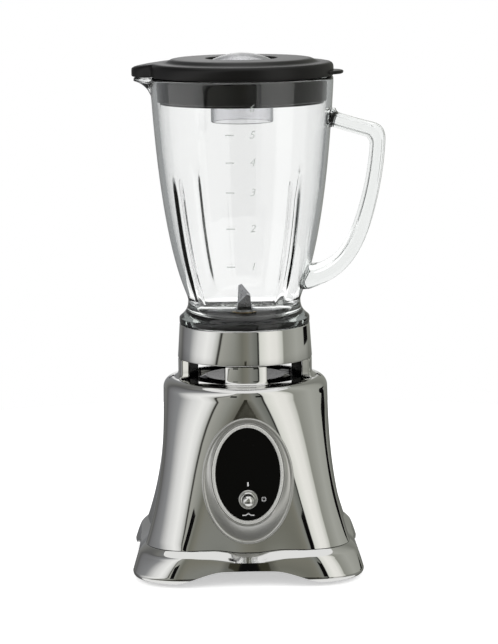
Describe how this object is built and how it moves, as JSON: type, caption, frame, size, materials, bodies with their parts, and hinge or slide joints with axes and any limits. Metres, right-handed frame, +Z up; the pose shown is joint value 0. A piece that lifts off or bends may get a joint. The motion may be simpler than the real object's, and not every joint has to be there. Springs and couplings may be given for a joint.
{
  "type": "countertop blender",
  "caption": "Countertop blender: chromed square-footed motor base with a toggle switch, screw-on blade collar, glass jar with handle, black lid and clear filler cap.",
  "frame": {"origin": "on the table, on the drive axis", "axes": "+Z up along the drive axis, -Y towards the control panel"},
  "size_m": [0.2001, 0.1803, 0.4025],
  "materials": {
    "chrome_plate": "polished chromium plate on a die casting",
    "satin_plate": "satin silver paint and fine brushing",
    "black_plastic": "moulded, semi-matt",
    "black_gloss": "moulded, glossy",
    "rubber": "moulded, matt",
    "steel": "ground",
    "copper_wire": "enamelled winding wire",
    "brass": "turned",
    "glass": "pressed, fire-polished",
    "clear_plastic": "transparent, moulded, glossy"
  },
  "bodies": {
    "base": {"base_housing": "chrome_plate", "foot_skirt": "chrome_plate", "bottom_cover": "black_plastic", "rubber_feet": "rubber", "cover_screws": "steel", "deck": "black_gloss", "deck_seal": "rubber", "cord_grommet": "rubber", "panel_surround": "satin_plate", "panel_bezel": "chrome_plate", "control_panel": "black_gloss", "toggle_nut": "satin_plate", "toggle_bushing": "chrome_plate", "switch_body": "black_plastic", "switch_terminals": "brass", "top_bracket": "steel", "bottom_bracket": "steel", "bracket_bolts": "steel", "motor_mounts": "rubber", "mount_screws": "steel", "top_bearing": "steel", "bottom_bearing": "steel", "stator_core": "steel", "field_coils": "copper_wire", "brush_holders": "black_plastic", "carbon_brushes": "black_plastic", "brush_springs": "steel"},
    "toggle": {"toggle_lever": "chrome_plate"},
    "rotor": {"motor_shaft": "steel", "armature_core": "steel", "armature_winding": "copper_wire", "commutator": "copper_wire", "cooling_fan": "black_plastic", "shaft_slinger": "rubber", "drive_stud": "steel"},
    "collar": {"jar_collar": "chrome_plate", "blade_holder": "black_plastic", "sealing_ring": "rubber", "blade_bushing": "brass"},
    "blades": {"blade_shaft": "steel", "driven_coupling": "black_plastic", "blade_spacer": "steel", "lower_blade": "steel", "upper_blade": "steel", "blade_nut": "steel"},
    "jar": {"glass_jar": "glass"},
    "lid": {"lid": "black_plastic"},
    "filler_cap": {"filler_cap": "clear_plastic"}
  },
  "joints": [
    {"name": "motor_spin", "type": "hinge", "parent": "base", "child": "rotor", "pos_m": [0, 0, 0.09], "axis": [0, 0, 1], "continuous": true},
    {"name": "toggle_tilt", "type": "hinge", "parent": "base", "child": "toggle", "pos_m": [0, -0.06969, 0.06542], "axis": [1, 0, 0], "range_deg": [-12, 12]},
    {"name": "jar_lift", "type": "slide", "parent": "base", "child": "collar", "axis": [0, 0, 1], "range_m": [0, 0.06]},
    {"name": "blade_spin", "type": "hinge", "parent": "collar", "child": "blades", "pos_m": [0, 0, 0.18], "axis": [0, 0, 1], "continuous": true},
    {"name": "jar_unscrew", "type": "slide", "parent": "collar", "child": "jar", "axis": [0, 0, 1], "range_m": [0, 0.06]},
    {"name": "lid_lift", "type": "slide", "parent": "jar", "child": "lid", "axis": [0, 0, 1], "range_m": [0, 0.06]},
    {"name": "cap_lift", "type": "slide", "parent": "lid", "child": "filler_cap", "axis": [0, 0, 1], "range_m": [0, 0.06]}
  ],
  "couplings": [
    {"joint": "blade_spin", "follows": "motor_spin", "ratio": 1}
  ]
}
